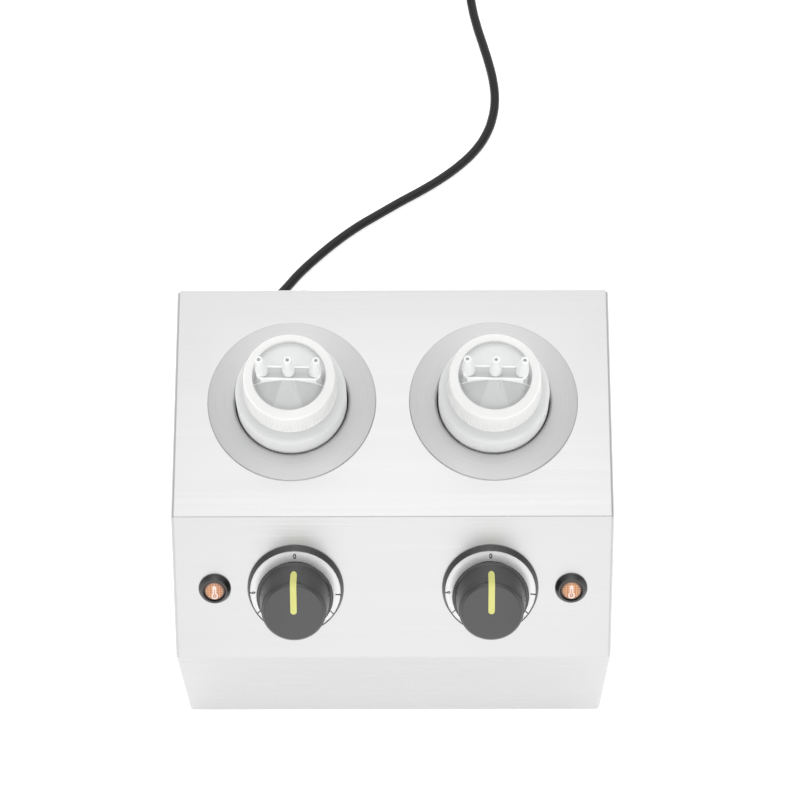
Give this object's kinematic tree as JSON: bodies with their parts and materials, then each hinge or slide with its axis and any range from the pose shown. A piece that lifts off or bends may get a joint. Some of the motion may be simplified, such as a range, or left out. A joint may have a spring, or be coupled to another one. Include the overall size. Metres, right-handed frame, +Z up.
{
  "type": "hot fudge topping warmer",
  "caption": "Countertop warmer in a folded stainless casing with dry-heat wells for squeeze bottles, thermostat knobs and pilot lamps on a sloping front.",
  "frame": {"origin": "on the table, under the middle of the casing", "axes": "+X to the right as seen from the front, +Y to the rear, +Z up"},
  "size_m": [0.28, 0.653, 0.2796],
  "materials": {
    "casing_steel": "fine straight grain, satin",
    "well_steel": "turned circular grain, satin",
    "fixing_steel": "plain zinc plated or stainless",
    "foot_rubber": "moulded, matt",
    "heater_sheath": "mica band heater in a thin metal sheath",
    "mineral_wool": "pressed mineral wool",
    "thermostat_body": "plated sheet housing",
    "sensor_copper": "drawn copper tube",
    "bezel_black": "moulded, satin",
    "dial_silver": "brushed silver foil ring with grey figures",
    "knob_grey": "fine moulded grain",
    "pointer_yellow": "moulded inlay line",
    "lamp_black": "moulded, glossy",
    "lens_orange": "clear orange lens with a pale thermometer figure",
    "bottle_polyethylene": "translucent, soft",
    "nozzle_polyethylene": "translucent, moulded",
    "cap_white": "opaque white, knurled",
    "terminal_plastic": "heat resistant, off white",
    "brass": "turned",
    "wire_brown": "silicone insulated",
    "wire_blue": "silicone insulated",
    "wire_green": "silicone insulated",
    "gland_black": "moulded, matt",
    "cord_black": "smooth matt sheath",
    "tie_fabric": "hook and loop strap",
    "plug_black": "moulded, matt",
    "plug_nickel": "nickel plated"
  },
  "bodies": {
    "casing": {"casing_wrap": "casing_steel", "side_panel_left": "casing_steel", "side_panel_right": "casing_steel", "rear_panel": "casing_steel", "rear_screws": "fixing_steel", "base_plate": "casing_steel", "base_screws": "fixing_steel", "foot_front_left": "foot_rubber", "foot_front_right": "foot_rubber", "foot_rear_left": "foot_rubber", "foot_rear_right": "foot_rubber", "foot_bolts": "fixing_steel", "well_left": "well_steel", "well_right": "well_steel", "well_nuts": "fixing_steel", "heater_left": "heater_sheath", "heater_right": "heater_sheath", "heater_bolts": "fixing_steel", "wool_left": "mineral_wool", "wool_right": "mineral_wool", "thermostat_left": "thermostat_body", "thermostat_right": "thermostat_body", "thermostat_screws": "fixing_steel", "sensor_left": "sensor_copper", "sensor_right": "sensor_copper", "sensor_clips": "fixing_steel", "bezel_left": "bezel_black", "bezel_right": "bezel_black", "dial_ring_left": "dial_silver", "dial_ring_right": "dial_silver", "lamp_left": "lamp_black", "lamp_right": "lamp_black", "lens_left": "lens_orange", "lens_right": "lens_orange", "lamp_nuts": "lamp_black", "terminal_block": "terminal_plastic", "earth_stud": "brass", "live_wires": "wire_brown", "neutral_wires": "wire_blue", "earth_wires": "wire_green", "cable_gland": "gland_black", "gland_nut": "gland_black", "power_cord": "cord_black", "cord_coil": "cord_black", "coil_tie": "tie_fabric", "plug_lead": "cord_black", "plug_body": "plug_black", "plug_contacts": "plug_nickel"},
    "knob_left": {"shaft_left": "fixing_steel", "knob_left": "knob_grey", "pointer_left": "pointer_yellow"},
    "knob_right": {"shaft_right": "fixing_steel", "knob_right": "knob_grey", "pointer_right": "pointer_yellow"},
    "bottle_left": {"bottle_left": "bottle_polyethylene"},
    "bottle_right": {"bottle_right": "bottle_polyethylene"},
    "nozzle_left": {"nozzle_left": "nozzle_polyethylene"},
    "nozzle_right": {"nozzle_right": "nozzle_polyethylene"},
    "cap_left": {"cap_left": "cap_white"},
    "cap_right": {"cap_right": "cap_white"}
  },
  "joints": [
    {"name": "knob_left_turn", "type": "hinge", "parent": "casing", "child": "knob_left", "pos_m": [-0.062, -0.07815, 0.17285], "axis": [0, 0.6971, -0.717], "range_deg": [0, 270]},
    {"name": "bottle_left_lift", "type": "slide", "parent": "casing", "child": "bottle_left", "axis": [0, 0, 1], "range_m": [0, 0.2]},
    {"name": "nozzle_left_rise", "type": "slide", "parent": "bottle_left", "child": "nozzle_left", "axis": [0, 0, 1], "range_m": [0, 0.0051]},
    {"name": "cap_left_turn", "type": "hinge", "parent": "nozzle_left", "child": "cap_left", "pos_m": [-0.0645, 0.036, 0.24], "axis": [0, 0, 1], "range_deg": [0, 450]},
    {"name": "knob_right_turn", "type": "hinge", "parent": "casing", "child": "knob_right", "pos_m": [0.062, -0.07815, 0.17285], "axis": [0, 0.6971, -0.717], "range_deg": [0, 270]},
    {"name": "bottle_right_lift", "type": "slide", "parent": "casing", "child": "bottle_right", "axis": [0, 0, 1], "range_m": [0, 0.2]},
    {"name": "nozzle_right_rise", "type": "slide", "parent": "bottle_right", "child": "nozzle_right", "axis": [0, 0, 1], "range_m": [0, 0.0051]},
    {"name": "cap_right_turn", "type": "hinge", "parent": "nozzle_right", "child": "cap_right", "pos_m": [0.0645, 0.036, 0.24], "axis": [0, 0, 1], "range_deg": [0, 450]}
  ],
  "couplings": [
    {"joint": "nozzle_left_rise", "follows": "cap_left_turn", "m_per_rad": 0.00063662},
    {"joint": "nozzle_right_rise", "follows": "cap_right_turn", "m_per_rad": 0.00063662}
  ]
}
